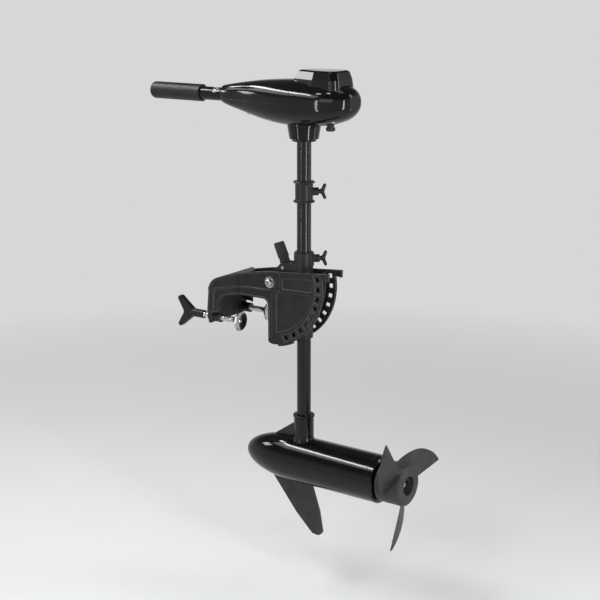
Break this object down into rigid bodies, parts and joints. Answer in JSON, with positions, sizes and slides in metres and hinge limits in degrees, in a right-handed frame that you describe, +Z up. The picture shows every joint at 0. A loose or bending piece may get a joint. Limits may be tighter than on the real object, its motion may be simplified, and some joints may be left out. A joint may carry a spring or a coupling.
{
  "type": "trolling motor",
  "caption": "Transom-mounted electric trolling motor with clamp bracket, notched tilt lock, sliding shaft, twist tiller, motor pod, skeg and twisted-blade propeller.",
  "frame": {"origin": "middle of the face that bears on the transom", "axes": "+X aft, away from the boat; +Y starboard; +Z up along the shaft"},
  "size_m": [0.637, 0.2191, 0.962],
  "materials": {
    "bracket_nylon": "glass-filled nylon, fine moulded texture",
    "carrier_nylon": "moulded nylon, smooth",
    "knob_nylon": "moulded nylon, fine texture",
    "bright_steel": "polished nickel-plated steel",
    "stainless_steel": "turned stainless steel",
    "zinc_steel": "zinc-plated pressed steel",
    "insert_brass": "turned brass",
    "liner_acetal": "moulded acetal, low friction",
    "shaft_enamel": "satin black enamel on steel tube",
    "head_shell": "high-gloss black moulding",
    "neck_casting": "die-cast, gloss black paint",
    "switch_body": "moulded phenolic",
    "handle_plastic": "satin black moulding with white speed figures",
    "grip_rubber": "moulded rubber, satin",
    "seal_rubber": "nitrile rubber",
    "lower_unit_casting": "die-cast, gloss black paint",
    "motor_case": "steel tube, gloss black paint",
    "skeg_plastic": "moulded, satin dark grey",
    "propeller_nylon": "glass-filled nylon, satin dark grey",
    "bearing_steel": "ground bearing steel",
    "core_steel": "stacked silicon steel laminations",
    "winding_copper": "enamelled copper wire",
    "magnet_ferrite": "sintered ferrite",
    "brush_board": "phenolic board",
    "brush_carbon": "pressed carbon"
  },
  "bodies": {
    "bracket": {"bracket_port_side": "bracket_nylon", "bracket_starboard_side": "bracket_nylon", "clamp_yoke": "bracket_nylon", "transom_plate": "bracket_nylon", "clamp_inserts": "insert_brass", "pivot_bolt": "bright_steel", "pivot_washers": "bright_steel", "pivot_nut": "bright_steel"},
    "pad_port": {"clamp_pad_port": "bright_steel"},
    "pad_starboard": {"clamp_pad_starboard": "bright_steel"},
    "screw_port": {"clamp_screw_port": "bright_steel", "clamp_knob_port": "knob_nylon"},
    "screw_starboard": {"clamp_screw_starboard": "bright_steel", "clamp_knob_starboard": "knob_nylon"},
    "carrier": {"tilt_carrier": "carrier_nylon", "lever_pin": "stainless_steel"},
    "lever": {"tilt_lever": "knob_nylon"},
    "lock": {"lock_bar": "stainless_steel", "lock_link": "zinc_steel"},
    "tension_pad": {"tension_shoe": "insert_brass"},
    "tension_screw": {"tension_knob": "knob_nylon"},
    "liner": {"shaft_liner": "liner_acetal"},
    "shaft": {"shaft_tube": "shaft_enamel", "head_neck": "neck_casting", "head_lower_housing": "head_shell", "head_upper_cover": "head_shell", "head_top_cap": "head_shell", "speed_switch": "switch_body", "cable_gland": "seal_rubber", "handle_bush": "liner_acetal", "nose_cone": "lower_unit_casting", "skeg": "skeg_plastic", "socket_fin": "skeg_plastic", "motor_tube": "motor_case", "rear_end_bell": "lower_unit_casting", "shaft_seal": "seal_rubber", "ring_seals": "seal_rubber", "shaft_bearings": "bearing_steel", "field_magnets": "magnet_ferrite", "brush_plate": "brush_board", "motor_brushes": "brush_carbon", "through_bolts": "stainless_steel"},
    "collar": {"depth_collar": "carrier_nylon"},
    "collar_pad": {"collar_shoe": "insert_brass"},
    "collar_screw": {"collar_knob": "knob_nylon"},
    "handle": {"handle_tube": "handle_plastic", "switch_spindle": "liner_acetal"},
    "grip": {"handle_grip": "grip_rubber"},
    "armature": {"armature_shaft": "stainless_steel", "armature_core": "core_steel", "armature_windings": "winding_copper", "commutator": "winding_copper", "propeller": "propeller_nylon", "drive_pin": "stainless_steel", "propeller_washer": "stainless_steel", "propeller_nut": "bright_steel"}
  },
  "joints": [
    {"name": "clamp_slide_port", "type": "slide", "parent": "bracket", "child": "pad_port", "axis": [1, 0, 0], "range_m": [-0.035, 0.014]},
    {"name": "clamp_turn_port", "type": "hinge", "parent": "pad_port", "child": "screw_port", "pos_m": [-0.06, -0.05, 0], "axis": [1, 0, 0], "range_deg": [-7300, 2950]},
    {"name": "clamp_slide_starboard", "type": "slide", "parent": "bracket", "child": "pad_starboard", "axis": [1, 0, 0], "range_m": [-0.035, 0.014]},
    {"name": "clamp_turn_starboard", "type": "hinge", "parent": "pad_starboard", "child": "screw_starboard", "pos_m": [-0.06, 0.05, 0], "axis": [1, 0, 0], "range_deg": [-7300, 2950]},
    {"name": "tilt", "type": "hinge", "parent": "bracket", "child": "carrier", "pos_m": [0.0045, 0, 0.0844], "axis": [0, -1, 0], "range_deg": [0, 80]},
    {"name": "lever_pull", "type": "hinge", "parent": "carrier", "child": "lever", "pos_m": [0.0295, 0, 0.1164], "axis": [0, 1, 0], "range_deg": [0, 35.3]},
    {"name": "lock_slide", "type": "slide", "parent": "carrier", "child": "lock", "axis": [0.342, 0, -0.9397], "range_m": [0, 0.009]},
    {"name": "tension_slide", "type": "slide", "parent": "carrier", "child": "tension_pad", "axis": [0.766, 0.6428, 0], "range_m": [0, 0.003]},
    {"name": "tension_turn", "type": "hinge", "parent": "tension_pad", "child": "tension_screw", "pos_m": [0.071, 0, 0.138], "axis": [0.766, 0.6428, 0], "range_deg": [-5, 1090]},
    {"name": "steer", "type": "hinge", "parent": "carrier", "child": "liner", "pos_m": [0.071, 0, 0], "axis": [0, 0, 1], "continuous": true},
    {"name": "shaft_lift", "type": "slide", "parent": "liner", "child": "shaft", "axis": [0, 0, 1], "range_m": [-0.098, 0.11]},
    {"name": "collar_lift", "type": "slide", "parent": "shaft", "child": "collar", "axis": [0, 0, 1], "range_m": [0, 0.075]},
    {"name": "collar_pad_slide", "type": "slide", "parent": "collar", "child": "collar_pad", "axis": [0.766, 0.6428, 0], "range_m": [0, 0.003]},
    {"name": "collar_turn", "type": "hinge", "parent": "collar_pad", "child": "collar_screw", "pos_m": [0.071, 0, 0.273], "axis": [0.766, 0.6428, 0], "range_deg": [-5, 1090]},
    {"name": "speed_twist", "type": "hinge", "parent": "shaft", "child": "handle", "pos_m": [-0.1, 0, 0.453], "axis": [1, 0, 0], "range_deg": [-60, 100]},
    {"name": "grip_slide", "type": "slide", "parent": "handle", "child": "grip", "axis": [-1, 0, 0], "range_m": [0, 0.085]},
    {"name": "propeller_spin", "type": "hinge", "parent": "shaft", "child": "armature", "pos_m": [0.071, 0, -0.29], "axis": [1, 0, 0], "continuous": true}
  ],
  "couplings": [
    {"joint": "clamp_turn_port", "follows": "clamp_slide_port", "rad_per_m": 3590.4},
    {"joint": "clamp_turn_starboard", "follows": "clamp_slide_starboard", "rad_per_m": 3590.4},
    {"joint": "lever_pull", "follows": "lock_slide", "rad_per_m": 67.874},
    {"joint": "tension_turn", "follows": "tension_slide", "rad_per_m": 6283.2},
    {"joint": "collar_turn", "follows": "collar_pad_slide", "rad_per_m": 6283.2}
  ]
}
